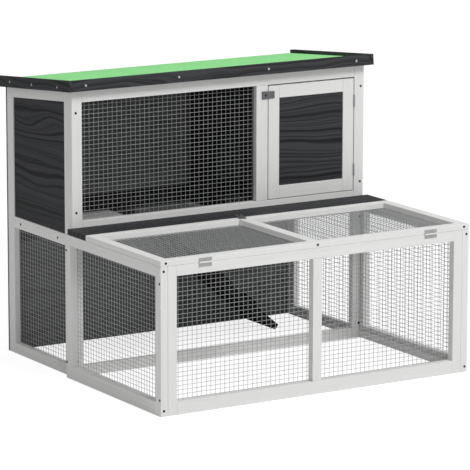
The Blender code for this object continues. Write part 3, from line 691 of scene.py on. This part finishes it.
fasciaScrews = {"slope": 5.4, "frontX": (0.0313, 0.3088, 0.5843, 0.8622), "frontZ": 0.7687,
                "sideBack": (0.3045, 0.1826, 0.0443), "sideZ": (0.739, 0.748, 0.760),
                "thickness": 0.0122}
slope = math.radians(fasciaScrews["slope"])
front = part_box("fascia_front")[0]
frontLow = front.z + fasciaScrews["thickness"] * math.sin(slope)
frontY = front.y + (fasciaScrews["frontZ"] - frontLow) * math.tan(slope)
places = [((houseLeft + x, frontY, fasciaScrews["frontZ"]), (0, -math.cos(slope), math.sin(slope)))
          for x in fasciaScrews["frontX"]]
for x, outward in ((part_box("fascia_left")[0].x, leftward), (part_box("fascia_right")[1].x, rightward)):
    places += [((x, houseFront + y, z), outward)
               for y, z in zip(fasciaScrews["sideBack"], fasciaScrews["sideZ"])]
addScrews("fascia_screws", "roof", places, "zincScrew")

# turn buttons and their screws
turnButton = {"ease": 0.0004, "easeAngle": 40, "headThickness": 0.0010}
for name in ("door_button", "lid_button"):
    shape = mergedCopy(name)
    bevelSharp(shape, sharpEdges(shape.edges, turnButton["easeAngle"]), turnButton["ease"])
    finishPiece(f"{name}_piece", shape, metals["dullButton"], bodyOf[name], [name])
low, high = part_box("door_button_screw")
addScrews("door_button_screw_piece", bodyOf["door_button_screw"],
          [(((low.x + high.x) / 2, low.y + turnButton["headThickness"],
             (low.z + high.z) / 2), forward)],
          replaced=["door_button_screw"])
low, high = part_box("lid_button_screw")
addScrews("lid_button_screw_piece", bodyOf["lid_button_screw"],
          [(((low.x + high.x) / 2, (low.y + high.y) / 2,
             high.z - turnButton["headThickness"]), (0, 0, 1))],
          replaced=["lid_button_screw"])

# hinges keep their CAD shape, and the lid's get a barrel with a painted highlight
hingePlate = {"barrel": 0.0024, "smoothAngle": 40, "screwReach": 0.30, "screwSize": 0.55,
              "screwSunk": 0.0010, "lidRow": 0.0042, "roofRow": 0.007}
lidAxis = next(joint["pos_m"] for joint in frame["record"]["behaviour"]["joints"]
               if joint["name"] == "lid_hinge")
for name, node in nodes.items():
    if "hinge" in name:
        for slot in node.material_slots:
            slot.material = metals["galvanisedPlate"]
for side in ("left", "right"):
    for half in ("fixed", "moving"):
        name = f"lid_hinge_{side}_{half}"
        low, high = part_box(name)
        middle = (low.x + high.x) / 2
        reach = (high.x - low.x) * hingePlate["screwReach"]
        z = low.z + hingePlate["lidRow"] if half == "fixed" else high.z - hingePlate["lidRow"]
        piece = finishPiece(f"{name}_piece", mergedCopy(name), metals["galvanisedPlate"],
                            bodyOf[name], [name], hingePlate["smoothAngle"])
        piece.data.materials.append(metals["paintedHighlightBarrel"])  # the barrel gets a painted highlight
        for polygon in piece.data.polygons:
            fromAxis = math.hypot(polygon.center.y - lidAxis[1], polygon.center.z - lidAxis[2])
            polygon.material_index = 1 if fromAxis < hingePlate["barrel"] else 0
        face = high.y - hingePlate["screwSunk"]
        addScrews(f"{name}_screws", bodyOf[name],
                  [((middle - reach, face, z), forward), ((middle + reach, face, z), forward)],
                  "zincScrew", hingePlate["screwSize"])
    low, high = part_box(f"roof_hinge_{side}_fixed")
    middle = (low.x + high.x) / 2
    reach = (high.x - low.x) * hingePlate["screwReach"]
    face, z = low.y + hingePlate["screwSunk"], low.z + hingePlate["roofRow"]
    addScrews(f"roof_hinge_{side}_screws", "hutch",
              [((middle - reach, face, z), back), ((middle + reach, face, z), back)],
              "zincScrew", hingePlate["screwSize"])
print("screws, buttons and hinges done")

# floor, light and camera
stageValues = {"floorSize": 60.0, "floorColour": (0.93, 0.93, 0.93),
               "floorRoughness": 0.9, "floorGloss": 0.1,
               "seenColour": (0.28, 0.28, 0.28), "seenGlow": 0.86,
               "worldStrength": 0.45, "keyPower": 168.0, "keySize": 1.8,
               "keyPlace": (1.0, -3.6, 4.7), "topPower": 20.0, "topSize": 1.8,
               "topPlace": (0.0, 0.2, 4.2), "lightTarget": (0.0, 0.0, 0.35)}
shape = bmesh.new()
bmesh.ops.create_grid(shape, x_segments=2, y_segments=2, size=stageValues["floorSize"] / 2)
floorMesh = bpy.data.meshes.new("studioFloor")
shape.to_mesh(floorMesh)
shape.free()
floor = bpy.data.objects.new("studioFloor", floorMesh)
bpy.context.scene.collection.objects.link(floor)
floorPaint, floorTree, floorShader = startMaterial(
    "studioFloorPaint", {"Roughness": stageValues["floorRoughness"],
                         "Specular IOR Level": stageValues["floorGloss"],
                         "Emission Color": (1.0, 1.0, 1.0, 1.0)})
# seen directly, the floor is close to plain white, so thin wires still show against it
seen = addNode(floorTree, "ShaderNodeLightPath").outputs["Is Camera Ray"]
floorTree.links.new(blendColours(floorTree, seen, stageValues["floorColour"],
                                 stageValues["seenColour"]), floorShader.inputs["Base Color"])
floorTree.links.new(mathNode(floorTree, "MULTIPLY", seen, stageValues["seenGlow"]),
                    floorShader.inputs["Emission Strength"])
floorMesh.materials.append(floorPaint)

world = bpy.data.worlds.new("studioWorld")
world.use_nodes = True
background = world.node_tree.nodes["Background"]
background.inputs["Color"].default_value = (1.0, 1.0, 1.0, 1.0)
background.inputs["Strength"].default_value = stageValues["worldStrength"]
bpy.context.scene.world = world


def addSoftLight(name, place, power, size):
    light = bpy.data.lights.new(name, "AREA")
    light.energy, light.size = power, size
    holder = bpy.data.objects.new(name, light)
    bpy.context.scene.collection.objects.link(holder)
    holder.location = place
    aim = Vector(stageValues["lightTarget"]) - Vector(place)
    holder.rotation_euler = aim.to_track_quat("-Z", "Y").to_euler()


addSoftLight("keyLight", stageValues["keyPlace"], stageValues["keyPower"], stageValues["keySize"])
addSoftLight("topLight", stageValues["topPlace"], stageValues["topPower"], stageValues["topSize"])

cameraValues = {"place": (-4.6073, -7.50495, 2.12), "lens": 260.66, "sensor": 36.0,
                "yaw": 31.613, "pitch": 11.425, "roll": 0.103, "farClip": 200.0}
camera = bpy.data.cameras.new("studioCamera")
camera.lens, camera.sensor_width = cameraValues["lens"], cameraValues["sensor"]
camera.clip_end = cameraValues["farClip"]
cameraHolder = bpy.data.objects.new("studioCamera", camera)
bpy.context.scene.collection.objects.link(cameraHolder)
cameraHolder.matrix_world = (
    Matrix.Translation(cameraValues["place"])
    @ Matrix.Rotation(math.radians(-cameraValues["yaw"]), 4, "Z")
    @ Matrix.Rotation(math.radians(90 - cameraValues["pitch"]), 4, "X")
    @ Matrix.Rotation(math.radians(cameraValues["roll"]), 4, "Z"))
bpy.context.scene.camera = cameraHolder
bpy.context.scene.view_settings.view_transform = "Standard"
print("stage set")
